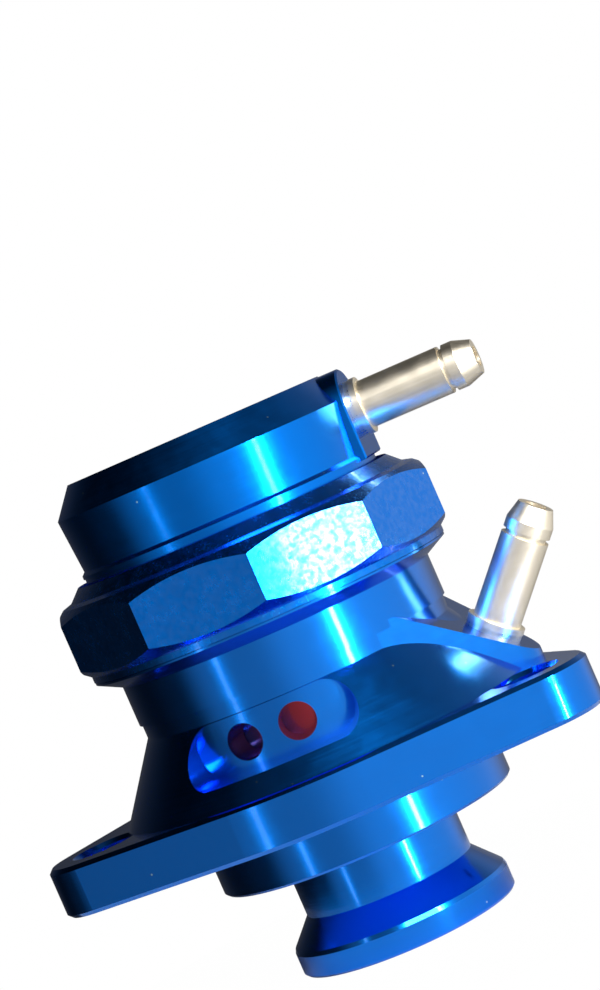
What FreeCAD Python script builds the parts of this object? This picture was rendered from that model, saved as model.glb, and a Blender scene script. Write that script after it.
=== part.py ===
"""Blow-off valve for a turbocharged engine, built as its separate pieces in millimetres.

Z runs up the valve's axis from the mouth of the inlet spigot. X points the way the two hose nipples
point, and the vent slot that faces the front looks along -Y.
"""
import FreeCAD, Part
import math
import os
import re
import Sketcher

doc = FreeCAD.newDocument("BlowOffValve")

# Driving sizes, in millimetres and degrees
SIZES = {
    # Inlet spigot and pilot
    "spigot_bore_radius": 10.5,
    "neck_wall": 2.0,
    "rim_lip": 3.6,
    "rim_height": 3.6,
    "flare_height": 3.9,
    "neck_height": 7.4,
    "pilot_wall": 4.3,
    "pilot_height": 6.5,
    # Flange and its three ears
    "flange_radius": 31.0,
    "flange_thickness": 7.2,
    "ear_radius": 8.5,
    "ear_reach": 3.5,
    "front_ear_turn": 22.95,
    "bolt_hole_radius": 4.2,
    "flange_chamfer": 0.6,
    # Body above the flange
    "shoulder_step": 0.4,
    "cone_height": 10.8,
    "waist_step": 0.35,
    "waist_height": 2.1,
    "ring_step": 1.25,
    "ring_height": 5.9,
    "collar_step": 2.0,
    "collar_flare_height": 1.7,
    "collar_rim_height": 0.3,
    "head_wall": 4.9,
    "head_height": 8.1,
    "edge_chamfer": 0.35,
    # Bores inside the body
    "seat_recess": 1.8,
    "piston_bore_radius": 17.5,
    # Vent slots and holes
    "vent_rise": 6.8,
    "vent_height": 7.8,
    "join_step": 0.1,
    "vent_half_sweep": 20.5,
    "vent_hole_radius": 2.6,
    "vent_hole_turn": 10.0,
    "front_vent_turn": -93.0,
    "rear_vent_turn": 146.5,
    # Boss for the lower nipple, and its drillings
    "boss_radius": 5.8,
    "boss_reach": -3.5,
    "boss_face_reach": -2.8,
    "boss_face_rise": 5.7,
    "boost_tilt": 42.0,
    "sense_drilling_radius": 0.9,
    "sense_drilling_wall": 2.9,
    # Collar nut
    "nut_sides": 10,
    "nut_corner_wall": 4.16,
    "nut_turn": -4.35,
    "nut_height": 13.0,
    "nut_skirt_height": 0.9,
    "nut_chamfer_wall": 2.1,
    "nut_lower_chamfer": 1.7,
    "nut_upper_chamfer": 1.7,
    "nut_crown_wall": 0.7,
    "nut_crown_height": 1.7,
    "nut_step_height": 0.4,
    "nut_foot_gap": 0.1,
    "nut_lip_gap": 0.2,
    "nut_lip_thickness": 2.3,
    "thread_gap": 0.05,
    # Thrust washer between cap and collar
    "thrust_washer_gap": 0.3,
    "thrust_washer_thickness": 0.6,
    "running_gap": 0.05,
    # Top cap
    "cap_plug_depth": 4.35,
    "cap_plug_wall": 1.9,
    "cap_flange_step": 0.2,
    "cap_flange_thickness": 2.0,
    "cap_neck_step": 0.3,
    "cap_reveal": 0.7,
    "cap_wall_step": 2.2,
    "cap_wall_height": 8.8,
    "cap_wall_lean": 0.6,
    "cap_bead_height": 0.5,
    "cap_bead_step": 0.1,
    "cap_bevel_width": 3.3,
    "cap_bevel_height": 4.2,
    "cap_roof_thickness": 10.7,
    "cap_land_step": 0.1,
    "cap_land_root": 0.5,
    "cap_land_drop": 0.15,
    "cap_land_chamfer": 0.25,
    "cap_nipple_rise": 6.8,
    "cap_port_offset": 6.6,
    "cap_port_radius": 1.2,
    "cap_cavity_gap": 0.1,
    # Hose nipples and their washers
    "nipple_bore_radius": 1.5,
    "nipple_shank_radius": 3.0,
    "nipple_shank_length": 5.0,
    "nipple_shoulder_radius": 4.1,
    "nipple_shoulder_height": 0.9,
    "nipple_barrel_radius": 3.4,
    "nipple_barrel_length": 12.2,
    "nipple_groove_radius": 2.9,
    "nipple_groove_length": 0.7,
    "nipple_barb_radius": 3.35,
    "nipple_barb_land": 1.5,
    "nipple_tip_radius": 2.5,
    "nipple_barb_length": 4.0,
    "nipple_washer_radius": 4.0,
    "nipple_washer_thickness": 0.7,
    # Piston and what it carries
    "piston_gap": 0.04,
    "piston_length": 22.2,
    "piston_floor": 5.0,
    "piston_cup_wall": 4.3,
    "ring_groove_depth": 1.5,
    "ring_groove_width": 1.9,
    "ring_groove_pitch": 3.1,
    "ring_groove_drop": 3.0,
    "ring_section_radius": 0.72,
    "wear_ring_rise": 2.5,
    "wear_ring_width": 2.8,
    "wear_ring_thickness": 0.9,
    # Seat and nose
    "seat_ring_height": 3.2,
    "seat_ring_step": 1.0,
    "seat_lip_width": 1.4,
    "seat_lip_height": 0.7,
    "seal_overlap": 2.3,
    "seal_thickness": 1.95,
    "retainer_gap": 3.5,
    "retainer_thickness": 2.2,
    "screw_radius": 2.0,
    "screw_head_radius": 4.0,
    "screw_head_height": 2.0,
    "screw_grip": 3.4,
    "screw_key_radius": 1.45,
    "screw_key_depth": 1.2,
    # Return spring and its shim
    "spring_wire_radius": 1.0,
    "spring_gap": 2.2,
    "spring_coils": 6.5,
    "shim_thickness": 1.0,
    "shim_recess": 1.5,
    "shim_gap": 0.2,
    "shim_half_width": 2.2,
    # Face seals
    "cap_seal_wall": 2.45,
    "cap_seal_groove_depth": 1.5,
    "flange_seal_wall": 3.8,
    "flange_seal_section": 1.05,
    "flange_seal_groove_depth": 1.9,
    "seal_side_gap": 0.2,
    # Overlap that lets a cutter pass clean through a face
    "cutter_overrun": 1.0,
}

# Levels up the axis, and radii, each worked out from the sizes below it or inside it
LEVELS = {
    "flare_top": "rim_height + flare_height",
    "pilot_base": "flare_top + neck_height",
    "flange_base": "pilot_base + pilot_height",
    "flange_top": "flange_base + flange_thickness",
    "cone_top": "flange_top + cone_height",
    "ring_base": "cone_top + waist_height",
    "head_base": "ring_base + ring_height + collar_flare_height + collar_rim_height",
    "head_top": "head_base + head_height",
    "vent_level": "flange_top + vent_rise",
    "boss_face_level": "flange_top + boss_face_rise",
    "seat_floor": "flange_base - seat_recess",
    "seat_top": "seat_floor + seat_ring_height",
    "seal_base": "seat_top + running_gap",
    "piston_base": "seal_base + seal_thickness",
    "piston_floor_top": "piston_base + piston_floor",
    "piston_top": "piston_base + piston_length",
    "cap_base": "head_top + running_gap",
    "cap_plug_base": "cap_base - cap_plug_depth",
    "cap_flange_top": "cap_base + cap_flange_thickness",
    "washer_base": "cap_flange_top + running_gap",
    "nut_lip_base": "washer_base + thrust_washer_thickness",
    "nut_top": "nut_lip_base + nut_lip_thickness",
    "nut_base": "nut_top - nut_height",
    "collar_top": "nut_base - nut_foot_gap",
    "collar_rim": "collar_top - collar_rim_height",
    "collar_base": "collar_rim - collar_flare_height",
    "cap_wall_base": "nut_top + cap_reveal",
    "cap_wall_top": "cap_wall_base + cap_wall_height",
    "cap_top": "cap_wall_top + cap_bevel_height",
    "cap_cavity_top": "cap_top - cap_roof_thickness",
    "shim_top": "cap_cavity_top + shim_recess",
    "spring_top": "shim_top - shim_thickness",
    "cap_nipple_level": "cap_wall_base + cap_nipple_rise",
    "piston_radius": "piston_bore_radius - piston_gap",
    "cap_cavity_radius": "piston_bore_radius + cap_cavity_gap",
    "cap_plug_radius": "cap_cavity_radius + cap_plug_wall",
    "plug_bore_radius": "cap_plug_radius + cap_cavity_gap",
    "head_radius": "plug_bore_radius + head_wall",
    "collar_radius": "head_radius + collar_step",
    "ring_radius": "head_radius - ring_step",
    "waist_radius": "ring_radius - waist_step",
    "vent_floor_radius": "waist_radius - join_step",
    "boss_root_radius": "waist_radius - join_step",
    "boss_offset": "shoulder_radius + boss_reach",
    "boss_face_offset": "shoulder_radius + boss_face_reach",
    "sense_drilling_offset": "piston_bore_radius + sense_drilling_wall",
    "neck_radius": "spigot_bore_radius + neck_wall",
    "rim_radius": "neck_radius + rim_lip",
    "pilot_radius": "piston_bore_radius + pilot_wall",
    "ear_offset": "flange_radius + ear_reach",
    "shoulder_radius": "flange_radius - shoulder_step",
    "nut_corner_radius": "head_radius + nut_corner_wall",
    "nut_chamfer_radius": "head_radius + nut_chamfer_wall",
    "nut_crown_radius": "head_radius + nut_crown_wall",
    "cap_flange_radius": "head_radius - cap_flange_step",
    "cap_radius": "head_radius - cap_wall_step",
    "cap_foot_radius": "cap_radius - cap_wall_lean",
    "cap_bead_radius": "cap_radius - cap_bead_step",
    "cap_neck_radius": "cap_radius - cap_neck_step",
    "cap_top_radius": "cap_radius - cap_bevel_width",
    "cap_flat_distance": "cap_radius + cap_land_step",
    "cap_land_radius": "cap_top - cap_nipple_level - cap_land_drop",
    "nut_lip_radius": "sqrt(cap_flat_distance ^ 2 + cap_land_radius ^ 2) + nut_lip_gap",
    "thrust_washer_inner": "cap_neck_radius + thrust_washer_gap",
    "piston_cup_radius": "piston_bore_radius - piston_cup_wall",
    "spring_radius": "piston_cup_radius - spring_gap",
    "shim_outer_radius": "piston_cup_radius - shim_gap",
    "shim_inner_radius": "spring_radius - shim_half_width",
    "seat_ring_bore": "spigot_bore_radius + seat_ring_step",
    "seal_radius": "seat_ring_bore + seal_overlap",
    "retainer_radius": "seat_ring_bore - retainer_gap",
    "cap_seal_radius": "plug_bore_radius + cap_seal_wall",
    "flange_seal_radius": "pilot_radius + flange_seal_wall",
    "upper_ring_level": "piston_top - ring_groove_drop",
    "lower_ring_level": "upper_ring_level - ring_groove_pitch",
    "wear_ring_base": "piston_base + wear_ring_rise",
    "nipple_groove_base": "nipple_shoulder_height + nipple_barrel_length",
    "nipple_barb_base": "nipple_groove_base + nipple_groove_length",
    "nipple_top": "nipple_barb_base + nipple_barb_length",
}

sheet = doc.addObject("Spreadsheet::Sheet", "Sizes")
for row, (alias, size) in enumerate(SIZES.items(), 1):
    sheet.set(f"A{row}", alias)
    sheet.set(f"B{row}", str(size))
    sheet.setAlias(f"B{row}", alias)
doc.recompute()


def formula(text):
    """Writes sizes and levels, given by name, as an expression on the sheet."""
    def spell(match):
        word = match.group(0)
        if word in LEVELS:
            return f"({formula(LEVELS[word])})"
        return f"Sizes.{word}" if word in SIZES else word
    return re.sub(r"[a-z_]+", spell, text)


def number(text):
    """The value that an expression has now."""
    result = sheet.evalExpression(formula(text))
    return float(getattr(result, "Value", result))


def bind(thing, **sizes):
    """Ties properties of a feature to expressions on the sheet."""
    for name, text in sizes.items():
        thing.setExpression(name, formula(text))


def place(thing, x="0", y="0", z="0", turn="0", tilt="0"):
    """Stands a piece at a point, tilted from the axis and then turned about it."""
    spot = f"vector({x}; {y}; {z})"
    stance = f"rotation(vector(0; 0; 1); {turn}) * rotation(vector(0; 1; 0); {tilt})"
    bind(thing, Placement=f"placement({spot}; {stance})")
    return thing


def new_sketch(body, name, plane, lift="0", turn="0"):
    """A sketch on a plane of the body's own origin, lifted and turned on it."""
    sketch = body.newObject("Sketcher::SketchObject", name)
    support = next(feature for feature in body.Origin.OriginFeatures if feature.Role == plane)
    sketch.AttachmentSupport = [(support, "")]
    sketch.MapMode = "FlatFace"
    bind(sketch, AttachmentOffset=f"placement(vector(0; 0; {lift}); rotation(vector(0; 0; 1); {turn}))")
    return sketch


def hold(sketch, kind, *where_and_text):
    """Adds a dimension whose value is an expression."""
    *where, text = where_and_text
    index = sketch.addConstraint(Sketcher.Constraint(kind, *where, number(text)))
    sketch.setExpression(f"Constraints[{index}]", formula(text))


def hold_point(sketch, geometry, end, x, y):
    """Holds a point of the sketch at a distance from its origin."""
    hold(sketch, "DistanceX", -1, 1, geometry, end, x)
    hold(sketch, "DistanceY", -1, 1, geometry, end, y)


def draw_polygon(sketch, corners):
    """Draws a closed outline of straight lines."""
    spots = [FreeCAD.Vector(number(x), number(y), 0) for x, y in corners]
    lines = [sketch.addGeometry(Part.LineSegment(start, end), False)
             for start, end in zip(spots, spots[1:] + spots[:1])]
    for line, following in zip(lines, lines[1:] + lines[:1]):
        sketch.addConstraint(Sketcher.Constraint("Coincident", line, 2, following, 1))
    for line, (x, y) in zip(lines, corners):
        hold_point(sketch, line, 1, x, y)


def draw_circle(sketch, x, y, radius):
    """Draws a circle."""
    centre = FreeCAD.Vector(number(x), number(y), 0)
    circle = sketch.addGeometry(Part.Circle(centre, FreeCAD.Vector(0, 0, 1), number(radius)), False)
    hold_point(sketch, circle, 3, x, y)
    hold(sketch, "Radius", circle, radius)


def draw_tongue(sketch, root, offset, nose):
    """Draws a tongue along X, whose sides run as tangents from a root circle to a round nose."""
    lean = f"acos(({root} - {nose}) / {offset})"
    root_x, root_y = f"{root} * cos({lean})", f"{root} * sin({lean})"
    angle = math.radians(number(lean))
    centre = FreeCAD.Vector(number(offset), 0, 0)
    reach = FreeCAD.Vector(number(nose) * math.cos(angle), number(nose) * math.sin(angle), 0)
    upper_root = FreeCAD.Vector(number(root_x), number(root_y), 0)
    lower_root = FreeCAD.Vector(upper_root.x, -upper_root.y, 0)
    upper_end = centre + reach
    lower_end = FreeCAD.Vector(upper_end.x, -upper_end.y, 0)
    middle = FreeCAD.Vector(0, 0, 0)

    lower = sketch.addGeometry(Part.LineSegment(lower_root, lower_end), False)
    circle = Part.Circle(centre, FreeCAD.Vector(0, 0, 1), number(nose))
    arc = sketch.addGeometry(Part.ArcOfCircle(circle, -angle, angle), False)
    upper = sketch.addGeometry(Part.LineSegment(upper_end, upper_root), False)
    back = sketch.addGeometry(Part.LineSegment(upper_root, middle), False)
    front = sketch.addGeometry(Part.LineSegment(middle, lower_root), False)

    sketch.addConstraint(Sketcher.Constraint("Tangent", lower, 2, arc, 1))
    sketch.addConstraint(Sketcher.Constraint("Tangent", arc, 2, upper, 1))
    sketch.addConstraint(Sketcher.Constraint("Coincident", upper, 2, back, 1))
    sketch.addConstraint(Sketcher.Constraint("Coincident", back, 2, front, 1))
    sketch.addConstraint(Sketcher.Constraint("Coincident", front, 2, lower, 1))
    sketch.addConstraint(Sketcher.Constraint("Coincident", back, 2, -1, 1))
    hold_point(sketch, lower, 1, root_x, f"-({root_y})")
    hold_point(sketch, upper, 2, root_x, root_y)
    hold_point(sketch, arc, 3, offset, "0")
    hold(sketch, "Radius", arc, nose)


def new_body(name):
    """A new body, whose name is also the name of its file."""
    body = doc.addObject("PartDesign::Body", name)
    body.Label = name
    return body


def revolve(body, name, outline, kind="PartDesign::Revolution"):
    """Turns an outline of radii and heights about the axis, to add or to cut."""
    sketch = new_sketch(body, name + "_profile", "XZ_Plane")
    draw_polygon(sketch, outline)
    feature = body.newObject(kind, name)
    feature.Profile = sketch
    feature.ReferenceAxis = (sketch, ["V_Axis"])
    feature.Angle = 360
    doc.recompute()
    return feature


def turned(name, outline):
    """A piece that a lathe makes from one outline."""
    body = new_body(name)
    revolve(body, name + "_turning", outline)
    return body


def pad(body, sketch, length):
    """Raises a sketch by a length."""
    feature = body.newObject("PartDesign::Pad", sketch.Name + "_pad")
    feature.Profile = sketch
    bind(feature, Length=length)
    doc.recompute()
    return feature


def pocket(body, sketch, length, upwards=False, both_ways=False):
    """Cuts a sketch into the body, and stops if nothing was cut."""
    before = body.Shape.Volume
    feature = body.newObject("PartDesign::Pocket", sketch.Name + "_cut")
    feature.Profile = sketch
    feature.Reversed = upwards
    feature.Midplane = both_ways
    bind(feature, Length=length)
    doc.recompute()
    if body.Shape.Volume >= before:
        raise RuntimeError(f"{feature.Name} cuts nothing")
    return feature


def chamfer(body, name, size, wanted):
    """Breaks those edges of the body, as it stands, that a test picks out."""
    base = body.Tip
    edges = [f"Edge{index}" for index, edge in enumerate(base.Shape.Edges, 1) if wanted(edge)]
    feature = body.newObject("PartDesign::Chamfer", name)
    feature.Base = (base, edges)
    bind(feature, Size=size)
    doc.recompute()


def is_ring(edge, offset, radius, height):
    """Whether an edge is a level circle of the given size, centred at a distance from the axis."""
    if not isinstance(edge.Curve, Part.Circle):
        return False
    centre = edge.Curve.Center
    found = (math.hypot(centre.x, centre.y), edge.Curve.Radius, centre.z)
    return all(abs(has - number(text)) < 0.001 for has, text in zip(found, (offset, radius, height)))


def chamfer_rings(body, name, size, rings):
    """Breaks the round edges that lie about the axis at the given radii and heights."""
    chamfer(body, name, size, lambda edge: any(is_ring(edge, "0", *ring) for ring in rings))


def cylinder(name, radius, length, **spot):
    """A plain cylinder, used as a cutter."""
    thing = doc.addObject("Part::Cylinder", name)
    bind(thing, Radius=radius, Height=length)
    return place(thing, **spot)


def cut(name, base, tool):
    """Cuts one shape out of another."""
    thing = doc.addObject("Part::Cut", name)
    thing.Label = name
    thing.Base = base
    thing.Tool = tool
    doc.recompute()
    return thing


def fuse(name, shapes):
    """Joins several shapes."""
    thing = doc.addObject("Part::MultiFuse", name)
    thing.Shapes = shapes
    return thing


# Valve body: one turned casting with a three-eared flange, bores, vent slots and a nipple boss
def flange_and_boss(body):
    """The flange plate with its bolt holes, and the boss that stands on it."""
    ear_turns = {"right": "-front_ear_turn", "left": "180 + front_ear_turn", "rear": "90"}
    disc = new_sketch(body, "flange_disc", "XY_Plane", lift="flange_base")
    draw_circle(disc, "0", "0", "flange_radius")
    pad(body, disc, "flange_thickness")
    for side, turn in ear_turns.items():
        ear = new_sketch(body, f"{side}_ear", "XY_Plane", lift="flange_base", turn=turn)
        draw_tongue(ear, "flange_radius", "ear_offset", "ear_radius")
        pad(body, ear, "flange_thickness")

    chamfer(body, "flange_edges", "flange_chamfer", lambda edge: edge.BoundBox.ZLength < 0.001)
    holes = new_sketch(body, "bolt_holes", "XY_Plane", lift="flange_top")
    for turn in ear_turns.values():
        draw_circle(holes, f"ear_offset * cos({turn})", f"ear_offset * sin({turn})", "bolt_hole_radius")
    pocket(body, holes, "flange_thickness")
    chamfer(body, "hole_edges", "flange_chamfer",
            lambda edge: is_ring(edge, "ear_offset", "bolt_hole_radius", "flange_top"))

    boss = new_sketch(body, "boss", "XY_Plane", lift="flange_top - flange_thickness / 2")
    draw_tongue(boss, "boss_root_radius", "boss_offset", "boss_radius")
    pad(body, boss, "ring_base - flange_top + (flange_thickness + waist_height) / 2")
    face = new_sketch(body, "boss_face", "XZ_Plane")
    slope = "tan(boost_tilt)"
    far_side = "(boss_offset + 2 * boss_radius)"
    draw_polygon(face, [
        (far_side, f"boss_face_level - ({far_side} - boss_face_offset) * {slope}"),
        (far_side, f"boss_face_level + boss_face_offset * {slope}"),
        ("0", f"boss_face_level + boss_face_offset * {slope}"),
    ])
    pocket(body, face, "4 * boss_root_radius", both_ways=True)


def valve_turning(body):
    """What the lathe cuts: the outside, the bores and the two seal grooves."""
    revolve(body, "body_outside", [
        ("0", "0"),
        ("rim_radius", "0"),
        ("rim_radius", "rim_height"),
        ("neck_radius", "flare_top"),
        ("neck_radius", "pilot_base"),
        ("pilot_radius", "pilot_base"),
        ("pilot_radius", "flange_top"),
        ("shoulder_radius", "flange_top"),
        ("waist_radius", "cone_top"),
        ("waist_radius", "ring_base"),
        ("ring_radius", "ring_base"),
        ("ring_radius", "collar_base"),
        ("collar_radius", "collar_rim"),
        ("collar_radius", "collar_top"),
        ("head_radius", "collar_top"),
        ("head_radius", "head_top"),
        ("0", "head_top"),
    ])
    chamfer_rings(body, "body_edges", "edge_chamfer", [
        ("rim_radius", "0"),
        ("rim_radius", "rim_height"),
        ("pilot_radius", "pilot_base"),
        ("head_radius", "head_top"),
    ])
    revolve(body, "body_bores", [
        ("0", "-cutter_overrun"),
        ("spigot_bore_radius", "-cutter_overrun"),
        ("spigot_bore_radius", "seat_floor"),
        ("piston_bore_radius", "seat_floor"),
        ("piston_bore_radius", "cap_plug_base - running_gap"),
        ("plug_bore_radius", "cap_plug_base - running_gap"),
        ("plug_bore_radius", "head_top + cutter_overrun"),
        ("0", "head_top + cutter_overrun"),
    ], "PartDesign::Groove")
    revolve(body, "cap_seal_groove", groove_outline(
        "cap_seal_radius", "ring_section_radius", "head_top - cap_seal_groove_depth",
        "head_top + cutter_overrun"), "PartDesign::Groove")
    revolve(body, "flange_seal_groove", groove_outline(
        "flange_seal_radius", "flange_seal_section", "flange_base - cutter_overrun",
        "flange_base + flange_seal_groove_depth"), "PartDesign::Groove")


def groove_outline(radius, section, low, high):
    """The outline of a face groove that leaves a seal of the given section a little room."""
    inner = f"{radius} - {section} - seal_side_gap"
    outer = f"{radius} + {section} + seal_side_gap"
    return [(inner, low), (outer, low), (outer, high), (inner, high)]


def vent_cutter(name, turn):
    """A milled slot with round ends and a curved floor, and its two vent holes."""
    sector = doc.addObject("Part::Cylinder", f"{name}_sector")
    bind(sector, Radius="flange_radius + cutter_overrun", Height="vent_height", Angle="2 * vent_half_sweep")
    place(sector, z="vent_level - vent_height / 2", turn=f"{turn} - vent_half_sweep")
    ends = [
        cylinder(f"{name}_end_{side}", "vent_height / 2", "flange_radius + cutter_overrun",
                 z="vent_level", turn=f"{turn} {sign} vent_half_sweep", tilt="90")
        for side, sign in (("left", "-"), ("right", "+"))
    ]
    core = cylinder(f"{name}_core", "vent_floor_radius", "2 * vent_height", z="vent_level - vent_height")
    slot = cut(f"{name}_slot", fuse(f"{name}_stock", [sector] + ends), core)
    holes = [
        cylinder(f"{name}_hole_{side}", "vent_hole_radius", "vent_floor_radius + cutter_overrun",
                 z="vent_level", turn=f"{turn} {sign} vent_hole_turn", tilt="90")
        for side, sign in (("left", "-"), ("right", "+"))
    ]
    return [slot] + holes


def boost_cutters():
    """The tapped hole in the boss, and the two drillings from it to the face of the pilot."""
    along, up = "sin(boost_tilt)", "cos(boost_tilt)"
    depth = "(nipple_shank_length + cutter_overrun)"
    start = {"x": f"boss_face_offset - {depth} * {along}", "z": f"boss_face_level - {depth} * {up}"}
    tapped = cylinder("boost_tapped_hole", "nipple_shank_radius + thread_gap",
                      f"{depth} + cutter_overrun", tilt="boost_tilt", **start)
    reach = f"((boss_face_offset - sense_drilling_offset) / {along})"
    meeting_level = f"boss_face_level - {reach} * {up}"
    slant = cylinder("boost_slant_drilling", "sense_drilling_radius", reach,
                     x="sense_drilling_offset", z=meeting_level, tilt="boost_tilt")
    upright = cylinder("boost_upright_drilling", "sense_drilling_radius",
                       f"{meeting_level} - pilot_base + cutter_overrun",
                       x="sense_drilling_offset", z="pilot_base - cutter_overrun")
    return [tapped, slant, upright]


def make_valve_body():
    blank = new_body("valve_blank")
    flange_and_boss(blank)
    valve_turning(blank)
    cutters = vent_cutter("front_vent", "front_vent_turn") + vent_cutter("rear_vent", "rear_vent_turn")
    cutters += boost_cutters()
    return cut("valve_body", blank, fuse("body_cutters", cutters))


# Collar nut: a ten-sided ring nut that holds the cap down
def make_collar_nut():
    stock = doc.addObject("Part::Prism", "nut_stock")
    bind(stock, Polygon="nut_sides", Circumradius="nut_corner_radius", Height="nut_height")
    place(stock, z="nut_base", turn="nut_turn")
    spare = "cutter_overrun"
    flank = "(nut_corner_radius - nut_chamfer_radius)"
    crown = "(nut_crown_height + nut_step_height)"
    turning = turned("nut_turning", [
        ("head_radius + thread_gap", "nut_base"),
        ("nut_chamfer_radius", "nut_base"),
        ("nut_chamfer_radius", "nut_base + nut_skirt_height"),
        (f"nut_corner_radius + {spare}",
         f"nut_base + nut_skirt_height + nut_lower_chamfer * (1 + {spare} / {flank})"),
        (f"nut_corner_radius + {spare}",
         f"nut_top - {crown} - nut_upper_chamfer * (1 + {spare} / {flank})"),
        ("nut_chamfer_radius", f"nut_top - {crown}"),
        ("nut_crown_radius", "nut_top - nut_crown_height"),
        ("nut_lip_radius", "nut_top"),
        ("nut_lip_radius", "nut_lip_base"),
        ("head_radius + thread_gap", "nut_lip_base"),
    ])
    nut = doc.addObject("Part::Common", "collar_nut")
    nut.Label = "collar_nut"
    nut.Base = stock
    nut.Tool = turning
    doc.recompute()
    return nut


def make_thrust_washer():
    return turned("thrust_washer", [
        ("thrust_washer_inner", "washer_base"),
        ("cap_flange_radius", "washer_base"),
        ("cap_flange_radius", "nut_lip_base"),
        ("thrust_washer_inner", "nut_lip_base"),
    ])


# Top cap: closes the spring chamber, turns under the slackened collar and carries the upper nipple
def make_top_cap():
    body = turned("top_cap", [
        ("0", "shim_top"),
        ("shim_outer_radius + running_gap", "shim_top"),
        ("shim_outer_radius + running_gap", "cap_cavity_top"),
        ("cap_cavity_radius", "cap_cavity_top"),
        ("cap_cavity_radius", "cap_plug_base"),
        ("cap_plug_radius", "cap_plug_base"),
        ("cap_plug_radius", "cap_base"),
        ("cap_flange_radius", "cap_base"),
        ("cap_flange_radius", "cap_flange_top"),
        ("cap_neck_radius", "cap_flange_top"),
        ("cap_neck_radius", "cap_wall_base"),
        ("cap_bead_radius", "cap_wall_base"),
        ("cap_bead_radius", "cap_wall_base + cap_bead_height"),
        ("cap_foot_radius", "cap_wall_base + 2 * cap_bead_height"),
        ("cap_radius", "cap_wall_top"),
        ("cap_top_radius", "cap_top"),
        ("0", "cap_top"),
    ])

    root = "(cap_top_radius - cap_land_root)"
    land_foot = new_sketch(body, "cap_land_foot", "YZ_Plane", lift=root)
    draw_polygon(land_foot, [
        ("-cap_land_radius", "cap_wall_base"),
        ("cap_land_radius", "cap_wall_base"),
        ("cap_land_radius", "cap_nipple_level"),
        ("-cap_land_radius", "cap_nipple_level"),
    ])
    pad(body, land_foot, f"cap_flat_distance - {root}")
    land_top = new_sketch(body, "cap_land_top", "YZ_Plane", lift=root)
    draw_circle(land_top, "0", "cap_nipple_level", "cap_land_radius")
    pad(body, land_top, f"cap_flat_distance - {root}")
    chamfer(body, "cap_land_edges", "cap_land_chamfer",
            lambda edge: abs(edge.BoundBox.XMin - number("cap_flat_distance")) < 0.001)

    hole = new_sketch(body, "cap_tapped_hole", "YZ_Plane", lift="cap_flat_distance")
    draw_circle(hole, "0", "cap_nipple_level", "nipple_shank_radius + thread_gap")
    pocket(body, hole, "nipple_shank_length + cutter_overrun")
    way = new_sketch(body, "cap_passage", "YZ_Plane", lift="cap_flat_distance")
    draw_circle(way, "0", "cap_nipple_level", "nipple_bore_radius")
    pocket(body, way, "cap_flat_distance - cap_port_offset + 2 * cap_port_radius")
    port = new_sketch(body, "cap_port", "XY_Plane", lift="shim_top")
    draw_circle(port, "cap_port_offset", "0", "cap_port_radius")
    pocket(body, port, "cap_nipple_level - shim_top - nipple_bore_radius / 3", upwards=True)
    return body


# Hose nipples: two of one turned pattern, each on a soft washer
def make_nipple(name, **spot):
    body = turned(name, [
        ("nipple_bore_radius", "-nipple_shank_length"),
        ("nipple_shank_radius", "-nipple_shank_length"),
        ("nipple_shank_radius", "0"),
        ("nipple_shoulder_radius", "0"),
        ("nipple_shoulder_radius", "nipple_shoulder_height"),
        ("nipple_barrel_radius", "nipple_shoulder_height"),
        ("nipple_barrel_radius", "nipple_groove_base"),
        ("nipple_groove_radius", "nipple_groove_base"),
        ("nipple_groove_radius", "nipple_barb_base"),
        ("nipple_barb_radius", "nipple_barb_base"),
        ("nipple_barb_radius", "nipple_barb_base + nipple_barb_land"),
        ("nipple_tip_radius", "nipple_top"),
        ("nipple_bore_radius", "nipple_top"),
    ])
    return place(body, **spot)


def make_nipple_washer(name, **spot):
    body = turned(name, [
        ("nipple_shank_radius + thread_gap", "-nipple_washer_thickness"),
        ("nipple_washer_radius", "-nipple_washer_thickness"),
        ("nipple_washer_radius", "0"),
        ("nipple_shank_radius + thread_gap", "0"),
    ])
    return place(body, **spot)


def make_nipples():
    cap_spot = {"x": "cap_flat_distance + nipple_washer_thickness", "z": "cap_nipple_level", "tilt": "90"}
    boost_spot = {
        "x": "boss_face_offset + nipple_washer_thickness * sin(boost_tilt)",
        "z": "boss_face_level + nipple_washer_thickness * cos(boost_tilt)",
        "tilt": "boost_tilt",
    }
    return [
        make_nipple("cap_nipple", **cap_spot),
        make_nipple_washer("cap_nipple_washer", **cap_spot),
        make_nipple("boost_nipple", **boost_spot),
        make_nipple_washer("boost_nipple_washer", **boost_spot),
    ]


# Piston: a cup that slides in the body's bore, with two rubber rings, a wear ring and a soft nose
def make_piston():
    groove_floor = "piston_radius - ring_groove_depth"
    wear_floor = "piston_radius - wear_ring_thickness"
    outline = [
        ("screw_radius + thread_gap", "piston_base"),
        ("piston_radius", "piston_base"),
        ("piston_radius", "wear_ring_base"),
        (wear_floor, "wear_ring_base"),
        (wear_floor, "wear_ring_base + wear_ring_width"),
        ("piston_radius", "wear_ring_base + wear_ring_width"),
    ]
    for level in ("lower_ring_level", "upper_ring_level"):
        outline += [
            ("piston_radius", f"{level} - ring_groove_width / 2"),
            (groove_floor, f"{level} - ring_groove_width / 2"),
            (groove_floor, f"{level} + ring_groove_width / 2"),
            ("piston_radius", f"{level} + ring_groove_width / 2"),
        ]
    outline += [
        ("piston_radius", "piston_top"),
        ("piston_cup_radius", "piston_top"),
        ("piston_cup_radius", "piston_floor_top"),
        ("0", "piston_floor_top"),
        ("0", "piston_base + screw_grip + running_gap"),
        ("screw_radius + thread_gap", "piston_base + screw_grip + running_gap"),
    ]
    return turned("piston", outline)


def make_seal_ring(name, radius, section, level):
    """A rubber ring of round section, as it lies squeezed in its groove."""
    ring = doc.addObject("Part::Torus", name)
    ring.Label = name
    bind(ring, Radius1=radius, Radius2=section)
    return place(ring, z=level)


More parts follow.
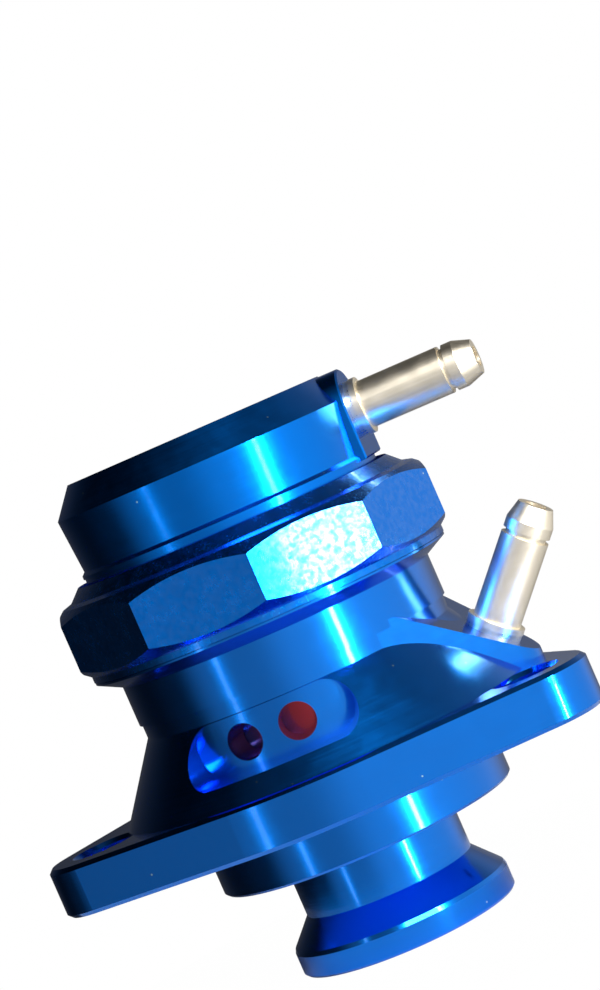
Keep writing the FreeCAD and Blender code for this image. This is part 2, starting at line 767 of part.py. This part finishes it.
def make_seal_rings():
    in_groove = "piston_radius - ring_section_radius - running_gap"
    return [
        make_seal_ring("piston_o_ring_upper", in_groove, "ring_section_radius", "upper_ring_level"),
        make_seal_ring("piston_o_ring_lower", in_groove, "ring_section_radius", "lower_ring_level"),
        make_seal_ring("cap_o_ring", "cap_seal_radius", "ring_section_radius",
                       "head_top - ring_section_radius - running_gap"),
        make_seal_ring("flange_o_ring", "flange_seal_radius", "flange_seal_section",
                       "flange_base + flange_seal_groove_depth - flange_seal_section"),
    ]


def make_wear_ring():
    return turned("piston_wear_ring", [
        ("piston_radius - wear_ring_thickness", "wear_ring_base"),
        ("piston_radius", "wear_ring_base"),
        ("piston_radius", "wear_ring_base + wear_ring_width"),
        ("piston_radius - wear_ring_thickness", "wear_ring_base + wear_ring_width"),
    ])


def make_seat_ring():
    return turned("seat_ring", [
        ("seat_ring_bore", "seat_floor"),
        ("piston_bore_radius", "seat_floor"),
        ("piston_bore_radius", "seat_top - seat_lip_height"),
        ("seat_ring_bore + seat_lip_width", "seat_top - seat_lip_height"),
        ("seat_ring_bore + seat_lip_width / 2", "seat_top"),
        ("seat_ring_bore", "seat_top"),
    ])


def make_nose():
    """The soft seal under the piston, its retainer plate and the screw that holds both."""
    seal = turned("nose_seal", [
        ("screw_radius + thread_gap", "seal_base"),
        ("seal_radius", "seal_base"),
        ("seal_radius", "piston_base"),
        ("screw_radius + thread_gap", "piston_base"),
    ])
    retainer = turned("nose_retainer", [
        ("screw_head_radius", "seal_base - retainer_thickness"),
        ("retainer_radius", "seal_base - retainer_thickness"),
        ("retainer_radius", "seal_base"),
        ("screw_radius + thread_gap", "seal_base"),
        ("screw_radius + thread_gap", "seal_base - retainer_thickness + screw_head_height"),
    ])
    head_face = "seal_base - retainer_thickness"
    blank = turned("nose_screw_blank", [
        ("0", head_face),
        ("screw_head_radius", head_face),
        ("screw_radius", f"{head_face} + screw_head_height"),
        ("screw_radius", "piston_base + screw_grip"),
        ("0", "piston_base + screw_grip"),
    ])
    key = doc.addObject("Part::Prism", "nose_screw_key")
    key.Polygon = 6
    bind(key, Circumradius="screw_key_radius", Height="screw_key_depth + cutter_overrun")
    place(key, z=f"{head_face} - cutter_overrun")
    return [seal, retainer, cut("nose_screw", blank, key)]


# Return spring: a helix of round wire with ground ends, between the piston's floor and the shim
def make_return_spring():
    body = new_body("spring_wire")
    section = new_sketch(body, "spring_section", "XZ_Plane")
    draw_circle(section, "spring_radius", "piston_floor_top + spring_wire_radius / 2", "spring_wire_radius")
    coil = body.newObject("PartDesign::AdditiveHelix", "spring_coil")
    coil.Profile = section
    coil.ReferenceAxis = (section, ["V_Axis"])
    coil.Mode = "pitch-turns-angle"
    bind(coil, Pitch="(spring_top - piston_floor_top - spring_wire_radius) / spring_coils",
         Turns="spring_coils")
    doc.recompute()
    room = cylinder("spring_room", "spring_radius + 2 * spring_wire_radius",
                    "spring_top - piston_floor_top", z="piston_floor_top")
    spring = doc.addObject("Part::Common", "return_spring")
    spring.Label = "return_spring"
    spring.Base = body
    spring.Tool = room
    doc.recompute()
    return spring


def make_spring_shim():
    return turned("spring_shim", [
        ("shim_inner_radius", "spring_top"),
        ("shim_outer_radius", "spring_top"),
        ("shim_outer_radius", "shim_top"),
        ("shim_inner_radius", "shim_top"),
    ])


pieces = [
    make_valve_body(),
    make_collar_nut(),
    make_thrust_washer(),
    make_top_cap(),
    *make_nipples(),
    make_piston(),
    *make_seal_rings(),
    make_wear_ring(),
    make_seat_ring(),
    *make_nose(),
    make_return_spring(),
    make_spring_shim(),
]
doc.recompute()

for thing in doc.Objects:
    if "Invalid" in thing.State or "Error" in thing.State:
        raise RuntimeError(f"{thing.Label} failed: {thing.State}")
for piece in pieces:
    if piece.Shape.isNull() or not piece.Shape.isValid() or len(piece.Shape.Solids) != 1:
        raise RuntimeError(f"{piece.Label} is not one sound solid")

os.makedirs("parts", exist_ok=True)
for piece in pieces:
    piece.Shape.exportStep(f"parts/{piece.Label}.step")
    box = piece.Shape.BoundBox
    print(f"{piece.Label}: volume {piece.Shape.Volume:.1f}, x {box.XMin:.2f} to {box.XMax:.2f}, "
          f"y {box.YMin:.2f} to {box.YMax:.2f}, z {box.ZMin:.2f} to {box.ZMax:.2f}")
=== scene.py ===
"""The blow-off valve dressed for a studio photograph."""
import math

import bpy
from mathutils import Matrix, Vector


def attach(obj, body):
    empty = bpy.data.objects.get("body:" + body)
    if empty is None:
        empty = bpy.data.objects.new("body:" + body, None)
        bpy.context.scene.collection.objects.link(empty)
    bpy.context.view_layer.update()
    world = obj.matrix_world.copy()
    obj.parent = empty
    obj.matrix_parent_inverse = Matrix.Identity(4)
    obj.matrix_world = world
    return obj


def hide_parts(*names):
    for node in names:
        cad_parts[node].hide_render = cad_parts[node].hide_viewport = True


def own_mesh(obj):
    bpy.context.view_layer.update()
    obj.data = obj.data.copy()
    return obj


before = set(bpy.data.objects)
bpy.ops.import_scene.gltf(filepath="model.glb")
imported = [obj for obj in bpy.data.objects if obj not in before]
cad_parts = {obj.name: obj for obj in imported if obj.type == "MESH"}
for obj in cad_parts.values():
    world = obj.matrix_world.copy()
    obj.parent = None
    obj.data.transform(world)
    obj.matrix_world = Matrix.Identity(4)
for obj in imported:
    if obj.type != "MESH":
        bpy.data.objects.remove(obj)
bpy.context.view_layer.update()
scene = bpy.context.scene
scene.view_settings.view_transform = "Standard"


# The camera stands a little to the right of the front, level with the cap, and is rolled so that the
# valve leans to the left, as the photograph was taken. A long lens keeps the circles nearly flat.
CAMERA_TURN = math.radians(13.65)
CAMERA_DISTANCE = 0.42676
CAMERA_HEIGHT = 0.07586
CAMERA_ROLL = math.radians(-23.596)
CAMERA_AIM = Vector((0.00989, 0.00240, 0.06196))
LENS_MM = 111.08
NEAREST_SEEN = 0.01

camera = bpy.data.objects.new("camera", bpy.data.cameras.new("camera"))
scene.collection.objects.link(camera)
camera.location = (
    CAMERA_DISTANCE * math.sin(CAMERA_TURN),
    -CAMERA_DISTANCE * math.cos(CAMERA_TURN),
    CAMERA_HEIGHT,
)
level_look = (CAMERA_AIM - camera.location).to_track_quat("-Z", "Y").to_matrix()
camera.rotation_euler = (level_look @ Matrix.Rotation(CAMERA_ROLL, 3, "Z")).to_euler()
camera.data.lens = LENS_MM
camera.data.clip_start = NEAREST_SEEN
scene.camera = camera


# The room around the valve is bright on the camera's right and nearly black on its left, behind and
# overhead, which grades the blue from left to right. The camera itself sees plain white.
ROOM_BY_BEARING = {
    -180: 0.05,
    -120: 0.01,
    -85: 0.03,
    -60: 0.34,
    -25: 0.4,
    8: 0.74,
    30: 0.8,
    65: 0.92,
    115: 0.8,
    160: 0.2,
}
ROOM_BY_RISE = {-1.0: 0.5, -0.25: 0.9, 0.0: 1.0, 0.3: 0.85, 0.62: 0.25, 0.9: 0.08}

world = bpy.data.worlds.new("room")
scene.world = world
world.use_nodes = True
world_nodes, world_links = world.node_tree.nodes, world.node_tree.links
gaze = world_nodes.new("ShaderNodeTexCoord")


def share_along(direction):
    """How far a gaze leans along a direction."""
    dot = world_nodes.new("ShaderNodeVectorMath")
    dot.operation = "DOT_PRODUCT"
    dot.inputs[1].default_value = direction
    world_links.new(gaze.outputs["Generated"], dot.inputs[0])
    return dot.outputs["Value"]


def stepped(value, levels, low, high):
    """Runs a value through a ramp of grey levels."""
    spread = world_nodes.new("ShaderNodeMapRange")
    spread.inputs["From Min"].default_value = low
    spread.inputs["From Max"].default_value = high
    world_links.new(value, spread.inputs["Value"])
    ramp = world_nodes.new("ShaderNodeValToRGB")
    ramp.color_ramp.interpolation = "EASE"
    stops = ramp.color_ramp.elements
    for mark, (at, level) in enumerate(levels.items()):
        stop = stops[mark] if mark < 2 else stops.new(1.0)
        stop.position = (at - low) / (high - low)
        stop.color = (level, level, level, 1)
    world_links.new(spread.outputs["Result"], ramp.inputs["Fac"])
    return ramp.outputs["Color"]


bearing = world_nodes.new("ShaderNodeMath")
bearing.operation = "ARCTAN2"
to_the_right = (math.cos(CAMERA_TURN), math.sin(CAMERA_TURN), 0)
to_the_camera = (math.sin(CAMERA_TURN), -math.cos(CAMERA_TURN), 0)
world_links.new(share_along(to_the_right), bearing.inputs[0])
world_links.new(share_along(to_the_camera), bearing.inputs[1])
in_degrees = world_nodes.new("ShaderNodeMath")
in_degrees.operation = "MULTIPLY"
in_degrees.inputs[1].default_value = math.degrees(1)
world_links.new(bearing.outputs[0], in_degrees.inputs[0])
graded = world_nodes.new("ShaderNodeMixRGB")
graded.blend_type = "MULTIPLY"
graded.inputs["Fac"].default_value = 1
world_links.new(stepped(in_degrees.outputs[0], ROOM_BY_BEARING, -180, 180), graded.inputs["Color1"])
world_links.new(stepped(share_along((0, 0, 1)), ROOM_BY_RISE, -1, 1), graded.inputs["Color2"])
room_path = world_nodes.new("ShaderNodeLightPath")
shown = world_nodes.new("ShaderNodeMath")
shown.operation = "MAXIMUM"
world_links.new(room_path.outputs["Is Camera Ray"], shown.inputs[0])
world_links.new(room_path.outputs["Is Transmission Ray"], shown.inputs[1])
room_or_white = world_nodes.new("ShaderNodeMixRGB")
room_or_white.inputs["Color2"].default_value = (1, 1, 1, 1)
world_links.new(shown.outputs[0], room_or_white.inputs["Fac"])
world_links.new(graded.outputs["Color"], room_or_white.inputs["Color1"])
world_links.new(room_or_white.outputs["Color"], world_nodes["Background"].inputs["Color"])


# The floor is a round of white paper just wide enough for the valve. The camera sees it nearly as white
# as the background, with a trace of shadow.
FLOOR_RADIUS = 0.06
FLOOR_CORNERS = 96
FLOOR_WHITE = 0.55
FLOOR_ROUGHNESS = 0.9
FLOOR_GLOW_SHARE = 0.995

bpy.ops.object.select_all(action="DESELECT")
bpy.ops.mesh.primitive_circle_add(vertices=FLOOR_CORNERS, radius=FLOOR_RADIUS, fill_type="NGON")
floor = bpy.context.object
floor.name = "floor"
floor_paper = bpy.data.materials.new("floor_paper")
floor_paper.use_nodes = True
paper_nodes, paper_links = floor_paper.node_tree.nodes, floor_paper.node_tree.links
matt = paper_nodes["Principled BSDF"]
matt.inputs["Base Color"].default_value = (FLOOR_WHITE, FLOOR_WHITE, FLOOR_WHITE, 1)
matt.inputs["Roughness"].default_value = FLOOR_ROUGHNESS
glow = paper_nodes.new("ShaderNodeEmission")
paper_path = paper_nodes.new("ShaderNodeLightPath")
glow_share = paper_nodes.new("ShaderNodeMath")
glow_share.operation = "MULTIPLY"
glow_share.inputs[1].default_value = FLOOR_GLOW_SHARE
matt_or_glow = paper_nodes.new("ShaderNodeMixShader")
paper_links.new(paper_path.outputs["Is Camera Ray"], glow_share.inputs[0])
paper_links.new(glow_share.outputs[0], matt_or_glow.inputs["Fac"])
paper_links.new(matt.outputs[0], matt_or_glow.inputs[1])
paper_links.new(glow.outputs[0], matt_or_glow.inputs[2])
paper_links.new(matt_or_glow.outputs[0], paper_nodes["Material Output"].inputs["Surface"])
floor.data.materials.append(floor_paper)


# Two upright strip lamps draw the bright lines down the turned surfaces, the right one strong and the
# left one faint. A window above them lights the upper sides of the nipples.
STRIP_DISTANCE = 0.9
STRIP_SIZE = (0.05, 1.1)
STRIP_HEIGHT = 0.03
STRIP_AIM = Vector((0, 0, 0.04))
STRIPS = {"right_strip": (37.4, 10.0), "left_strip": (-49, 0.45)}
WINDOW_SIZE = (0.7, 0.4)
WINDOW_POWER = 13.0
WINDOW_PLACE = Vector((0.42, -0.62, 0.62))
WINDOW_AIM = Vector((0.03, 0, 0.06))


def add_lamp(name, size, power, place, aim):
    """A flat oblong lamp that faces a point."""
    lamp = bpy.data.lights.new(name, "AREA")
    lamp.shape = "RECTANGLE"
    lamp.size, lamp.size_y = size
    lamp.energy = power
    holder = bpy.data.objects.new(name, lamp)
    scene.collection.objects.link(holder)
    holder.location = place
    holder.rotation_euler = (aim - place).to_track_quat("-Z", "Y").to_euler()


for name, (degrees, power) in STRIPS.items():
    turn = CAMERA_TURN + math.radians(degrees)
    place = Vector((STRIP_DISTANCE * math.sin(turn), -STRIP_DISTANCE * math.cos(turn), STRIP_HEIGHT))
    add_lamp(name, STRIP_SIZE, power, place, STRIP_AIM)
add_lamp("upper_window", WINDOW_SIZE, WINDOW_POWER, WINDOW_PLACE, WINDOW_AIM)


# The valve body is aluminium, turned and milled from bar, polished and then anodised blue. The dyed
# layer is a clear coat over blue metal, with fine turning marks, a soft mottle and stray bright specks.
BLUE = (0.001, 0.215, 0.87)
BARE_SPECK = (0.55, 0.75, 0.95)
SPECKS_PER_METRE = 260.0
SPECK_SHARE = 0.035
ROUND_THE_AXIS = (60, 60, 5200)
MARK_DETAIL = 3.0
MOTTLE_PER_METRE = 420.0
MOTTLE_DETAIL = 4.0
USUAL_NOISE = (0.6, 1.4)
RELIEF_DEPTH = 0.0002
COAT_ROUGHNESS = 0.06


def new_finish(name, colour, roughness, grain, turn=0.0, coat=0.0, metallic=1.0, streak=0.06, bump=0.02):
    """A finish whose fine marks are drawn out or packed close along each axis by the grain."""
    material = bpy.data.materials.new(name)
    material.use_nodes = True
    nodes, links = material.node_tree.nodes, material.node_tree.links
    surface = nodes["Principled BSDF"]
    surface.inputs["Base Color"].default_value = (*colour, 1)
    surface.inputs["Metallic"].default_value = metallic
    surface.inputs["Coat Weight"].default_value = coat
    surface.inputs["Coat Roughness"].default_value = COAT_ROUGHNESS
    place = nodes.new("ShaderNodeTexCoord")
    stretch = nodes.new("ShaderNodeMapping")
    stretch.inputs["Rotation"].default_value = (0, turn, 0)
    stretch.inputs["Scale"].default_value = grain
    marks = nodes.new("ShaderNodeTexNoise")
    marks.inputs["Scale"].default_value = 1.0
    marks.inputs["Detail"].default_value = MARK_DETAIL
    mottle = nodes.new("ShaderNodeTexNoise")
    mottle.inputs["Scale"].default_value = MOTTLE_PER_METRE
    mottle.inputs["Detail"].default_value = MOTTLE_DETAIL
    mixed = nodes.new("ShaderNodeMath")
    mixed.operation = "ADD"
    gloss = nodes.new("ShaderNodeMapRange")
    gloss.inputs["From Min"].default_value, gloss.inputs["From Max"].default_value = USUAL_NOISE
    gloss.inputs["To Min"].default_value = roughness - streak
    gloss.inputs["To Max"].default_value = roughness + streak
    relief = nodes.new("ShaderNodeBump")
    relief.inputs["Strength"].default_value = bump
    relief.inputs["Distance"].default_value = RELIEF_DEPTH
    links.new(place.outputs["Object"], stretch.inputs["Vector"])
    links.new(stretch.outputs["Vector"], marks.inputs["Vector"])
    links.new(place.outputs["Object"], mottle.inputs["Vector"])
    links.new(marks.outputs["Fac"], mixed.inputs[0])
    links.new(mottle.outputs["Fac"], mixed.inputs[1])
    links.new(mixed.outputs[0], gloss.inputs["Value"])
    links.new(gloss.outputs["Result"], surface.inputs["Roughness"])
    links.new(mixed.outputs[0], relief.inputs["Height"])
    links.new(relief.outputs["Normal"], surface.inputs["Normal"])
    return material


def add_specks(material):
    """Sprinkles tiny bare spots over a dyed finish."""
    nodes, links = material.node_tree.nodes, material.node_tree.links
    surface = nodes["Principled BSDF"]
    place = nodes.new("ShaderNodeTexCoord")
    spots = nodes.new("ShaderNodeTexVoronoi")
    spots.inputs["Scale"].default_value = SPECKS_PER_METRE
    near = nodes.new("ShaderNodeMath")
    near.operation = "LESS_THAN"
    near.inputs[1].default_value = SPECK_SHARE
    tint = nodes.new("ShaderNodeMixRGB")
    tint.inputs["Color1"].default_value = surface.inputs["Base Color"].default_value
    tint.inputs["Color2"].default_value = (*BARE_SPECK, 1)
    links.new(place.outputs["Object"], spots.inputs["Vector"])
    links.new(spots.outputs["Distance"], near.inputs[0])
    links.new(near.outputs[0], tint.inputs["Fac"])
    links.new(tint.outputs["Color"], surface.inputs["Base Color"])


def dress(thing, material):
    """Gives a piece its finish."""
    thing.data.materials.clear()
    thing.data.materials.append(material)


body_blue = new_finish("blue_anodised", BLUE, roughness=0.19, grain=ROUND_THE_AXIS, coat=0.4, streak=0.03)
add_specks(body_blue)
dress(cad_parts["valve_body"], body_blue)


# The outer half of the flange's right ear is whole on the real body. Its top is made here, where the
# solid has a slanting cut. It is a slice of the same three-eared plate, anodised with the body, with the
# same broken edges and the same bolt hole.
FLANGE_RADIUS = 0.031
FLANGE_LOW, FLANGE_HIGH = 0.0214, 0.0286
EAR_RADIUS = 0.0085
EAR_OFFSET = 0.0345
EAR_TURN = math.radians(22.95)
EAR_CENTRE = (EAR_OFFSET * math.cos(EAR_TURN), -EAR_OFFSET * math.sin(EAR_TURN))
BOLT_HOLE_RADIUS = 0.0042
EDGE_BREAK = 0.0006
CORNER_ANGLE = math.radians(60)
ROUND_SIDES = 256
BOOST_TILT = math.radians(42)
CUT_POINT = (0.0278, 0, 0.0343)
CUT_NORMAL = (math.sin(BOOST_TILT), 0, math.cos(BOOST_TILT))
CUT_START, CUT_END = 0.034131, 0.0387


def add_round(radius, low, high, centre=(0, 0), top_radius=None):
    """An upright round solid between two levels."""
    bpy.ops.object.select_all(action="DESELECT")
    bpy.ops.mesh.primitive_cone_add(
        vertices=ROUND_SIDES,
        radius1=radius,
        radius2=radius if top_radius is None else top_radius,
        depth=high - low,
        location=(*centre, (low + high) / 2),
    )
    return bpy.context.object


def combine(base, tool, operation):
    """Cuts a solid by another, or keeps their overlap, and removes the other."""
    modifier = base.modifiers.new(operation.lower(), "BOOLEAN")
    modifier.operation = operation
    modifier.solver = "EXACT"
    modifier.object = tool
    bpy.ops.object.select_all(action="DESELECT")
    bpy.context.view_layer.objects.active = base
    bpy.ops.object.modifier_apply(modifier=modifier.name)
    bpy.data.objects.remove(tool)


flange_disc = add_round(FLANGE_RADIUS, FLANGE_LOW, FLANGE_HIGH)
ear_top = add_round(EAR_RADIUS, FLANGE_LOW, FLANGE_HIGH, EAR_CENTRE)
flange_disc.select_set(True)
bpy.ops.object.join()
bpy.ops.object.mode_set(mode="EDIT")
bpy.ops.mesh.select_all(action="SELECT")
bpy.ops.mesh.convex_hull()
bpy.ops.object.mode_set(mode="OBJECT")
broken_edges = ear_top.modifiers.new("broken_edges", "BEVEL")
broken_edges.width = EDGE_BREAK
broken_edges.angle_limit = CORNER_ANGLE
broken_edges.use_clamp_overlap = False
bpy.ops.object.modifier_apply(modifier=broken_edges.name)

slice_low = CUT_POINT[2] - (CUT_END - CUT_POINT[0]) * math.tan(BOOST_TILT)
slice_high = FLANGE_HIGH + EDGE_BREAK
slice_middle = ((CUT_START + CUT_END) / 2, EAR_CENTRE[1] + EDGE_BREAK, (slice_low + slice_high) / 2)
bpy.ops.object.select_all(action="DESELECT")
bpy.ops.mesh.primitive_cube_add(size=1, location=slice_middle)
ear_slice = bpy.context.object
ear_slice.scale = (CUT_END - CUT_START, 4 * EAR_RADIUS, slice_high - slice_low)
bpy.ops.object.transform_apply(location=True, rotation=False, scale=True)
bpy.ops.object.mode_set(mode="EDIT")
bpy.ops.mesh.select_all(action="SELECT")
bpy.ops.mesh.bisect(plane_co=CUT_POINT, plane_no=CUT_NORMAL, use_fill=True, clear_inner=True)
bpy.ops.object.mode_set(mode="OBJECT")
combine(ear_top, ear_slice, "INTERSECT")

bolt_hole = add_round(BOLT_HOLE_RADIUS, FLANGE_LOW, slice_high, EAR_CENTRE)
combine(ear_top, bolt_hole, "DIFFERENCE")
mouth_low = FLANGE_HIGH - EDGE_BREAK
mouth_radius = BOLT_HOLE_RADIUS + 2 * EDGE_BREAK
hole_mouth = add_round(BOLT_HOLE_RADIUS, mouth_low, slice_high, EAR_CENTRE, mouth_radius)
combine(ear_top, hole_mouth, "DIFFERENCE")
ear_top.select_set(True)
bpy.ops.object.transform_apply(location=True, rotation=True, scale=True)
ear_top.name = "right_ear_top"
dress(ear_top, body_blue)
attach(ear_top, "valve")


# The seat ring is what the piston's nose closes on. It is bare turned aluminium, pressed into the bottom
# of the body's bore.
BARE_ALUMINIUM = (0.75, 0.76, 0.78)
dress(
    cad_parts["seat_ring"],
    new_finish("bare_aluminium", BARE_ALUMINIUM, roughness=0.25, grain=ROUND_THE_AXIS),
)


# The flange's face seal is a moulded ring of black rubber, left matt by its mould. It lies in a groove
# under the flange.
MOULDED = (900, 900, 900)
rubber = new_finish(
    "black_rubber", (0.018, 0.018, 0.019), roughness=0.55, grain=MOULDED, metallic=0.0, bump=0.1
)
dress(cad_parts["flange_o_ring"], rubber)


# The boost nipple is bare steel, turned and then polished along its length, which leaves fine lines.
# It screws down on a soft steel washer on the body's slanting boss.
CREAM_STEEL = (0.98, 0.89, 0.72)
LENGTHWISE = (60, 4200, 4200)
STAMPED = (2000, 2000, 2000)
washer_steel = new_finish("washer_steel", CREAM_STEEL, roughness=0.3, grain=STAMPED)
boost_nipple_steel = new_finish(
    "boost_nipple_steel",
    CREAM_STEEL,
    roughness=0.4,
    grain=LENGTHWISE,
    turn=BOOST_TILT - math.radians(90),
    bump=0.05,
)
dress(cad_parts["boost_nipple_washer"], washer_steel)
dress(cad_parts["boost_nipple"], boost_nipple_steel)


# The piston is an aluminium cup, turned, anodised red and polished. It slides in the body's bore and is
# what shows inside the vent holes.
dress(
    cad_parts["piston"],
    new_finish("red_anodised", (0.34, 0.012, 0.03), roughness=0.2, grain=ROUND_THE_AXIS, coat=0.6),
)


# Three rings lie in grooves round the piston. Two are of the same rubber as the flange's seal, and the
# wear ring between the piston and the bore is of low-friction plastic.
FINELY_MOULDED = (700, 700, 700)
plastic = new_finish(
    "white_plastic", (0.85, 0.84, 0.8), roughness=0.45, grain=FINELY_MOULDED, metallic=0.0, bump=0.05
)
dress(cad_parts["piston_o_ring_upper"], rubber)
dress(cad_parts["piston_o_ring_lower"], rubber)
dress(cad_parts["piston_wear_ring"], plastic)


# The soft nose under the piston is a rubber disc. A turned aluminium plate and a screw of blackened
# steel hold it.
SMOOTH_STEEL = (2500, 2500, 2500)
dress(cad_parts["nose_seal"], rubber)
dress(
    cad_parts["nose_retainer"],
    new_finish("retainer_aluminium", BARE_ALUMINIUM, roughness=0.28, grain=ROUND_THE_AXIS),
)
dress(
    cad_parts["nose_screw"],
    new_finish("black_oxide_steel", (0.06, 0.06, 0.07), roughness=0.4, grain=SMOOTH_STEEL),
)


# The return spring is a coil of drawn steel wire whose ends are ground flat. It stands between the
# piston's floor and the shim. In the valve it shortens against the shim as the piston rises; the coil
# made here is fixed to the valve's body and keeps its length.
SPRING_LOW, SPRING_TOP = 0.0298, 0.066
SPRING_RADIUS = 0.011
SPRING_COILS = 6.5
STEPS_PER_COIL = 48
WIRE_RADIUS = 0.001
WIRE_SIDES = 20
WIRE_SMOOTH_ANGLE = math.radians(40)

bpy.ops.object.select_all(action="DESELECT")
bpy.ops.mesh.primitive_circle_add(
    vertices=WIRE_SIDES,
    radius=WIRE_RADIUS,
    rotation=(math.radians(90), 0, 0),
    location=(SPRING_RADIUS, 0, SPRING_LOW + WIRE_RADIUS / 2),
)
coil = bpy.context.object
bpy.ops.object.transform_apply(location=True, rotation=True, scale=True)
winding = coil.modifiers.new("winding", "SCREW")
winding.angle = math.tau * SPRING_COILS
winding.screw_offset = SPRING_TOP - SPRING_LOW - WIRE_RADIUS
winding.steps = round(STEPS_PER_COIL * SPRING_COILS)
winding.render_steps = winding.steps
bpy.ops.object.modifier_apply(modifier=winding.name)
bpy.ops.object.mode_set(mode="EDIT")
bpy.ops.mesh.select_all(action="SELECT")
bpy.ops.mesh.fill_holes(sides=0)
bpy.ops.mesh.normals_make_consistent(inside=False)
bpy.ops.object.mode_set(mode="OBJECT")
ground_ends = add_round(SPRING_RADIUS + 2 * WIRE_RADIUS, SPRING_LOW, SPRING_TOP)
combine(coil, ground_ends, "INTERSECT")
coil.select_set(True)
bpy.ops.object.shade_smooth_by_angle(angle=WIRE_SMOOTH_ANGLE)
coil.name = "return_spring_coil"
spring_steel = new_finish("spring_steel", (0.45, 0.46, 0.48), roughness=0.28, grain=SMOOTH_STEEL)
dress(coil, spring_steel)
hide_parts("return_spring")
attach(coil, "valve")
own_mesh(coil)


# The shim sets the spring's load. It is a ring of the same steel, ground flat, and it lies under the cap
# and turns with it.
dress(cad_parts["spring_shim"], spring_steel)


# The cap is turned from aluminium bar and anodised blue, a little duller than the body. It closes the
# spring's room and seals on a rubber ring.
cap_blue = new_finish(
    "cap_blue_anodised", BLUE, roughness=0.22, grain=ROUND_THE_AXIS, coat=0.1, streak=0.04
)
add_specks(cap_blue)
dress(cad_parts["cap_o_ring"], rubber)
dress(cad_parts["top_cap"], cap_blue)


# The cap's nipple is of the same steel as the boost nipple and polished in the same way. It screws into
# the land on the cap's side, also on a washer.
cap_nipple_steel = new_finish(
    "cap_nipple_steel", CREAM_STEEL, roughness=0.36, grain=LENGTHWISE, bump=0.05
)
dress(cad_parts["cap_nipple_washer"], washer_steel)
dress(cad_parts["cap_nipple"], cap_nipple_steel)


# The thrust washer lies on the cap's flange, so that the nut doesn't turn the cap as it is tightened.
# It is of the same plastic as the wear ring.
dress(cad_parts["thrust_washer"], plastic)


# The collar nut clamps the cap. It is aluminium with ten milled flats, anodised blue, and the sealing of
# its dyed layer is blotchy, which shows where a flat catches the light.
MILLED = (2300, 2300, 1500)
BLOTCHES_PER_METRE = 1300.0
BLOTCH_DETAIL = 2.0
BLOTCH_EDGES = (0.38, 0.62)
BLOTCH_COATS = (0.15, 0.6)

nut_blue = new_finish("nut_blue_anodised", BLUE, roughness=0.24, grain=MILLED, streak=0.07, bump=0.05)
add_specks(nut_blue)
nut_nodes, nut_links = nut_blue.node_tree.nodes, nut_blue.node_tree.links
nut_place = nut_nodes.new("ShaderNodeTexCoord")
blotches = nut_nodes.new("ShaderNodeTexNoise")
blotches.inputs["Scale"].default_value = BLOTCHES_PER_METRE
blotches.inputs["Detail"].default_value = BLOTCH_DETAIL
sealing = nut_nodes.new("ShaderNodeMapRange")
sealing.inputs["From Min"].default_value, sealing.inputs["From Max"].default_value = BLOTCH_EDGES
sealing.inputs["To Min"].default_value, sealing.inputs["To Max"].default_value = BLOTCH_COATS
nut_links.new(nut_place.outputs["Object"], blotches.inputs["Vector"])
nut_links.new(blotches.outputs["Fac"], sealing.inputs["Value"])
nut_links.new(sealing.outputs["Result"], nut_nodes["Principled BSDF"].inputs["Coat Weight"])
dress(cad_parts["collar_nut"], nut_blue)
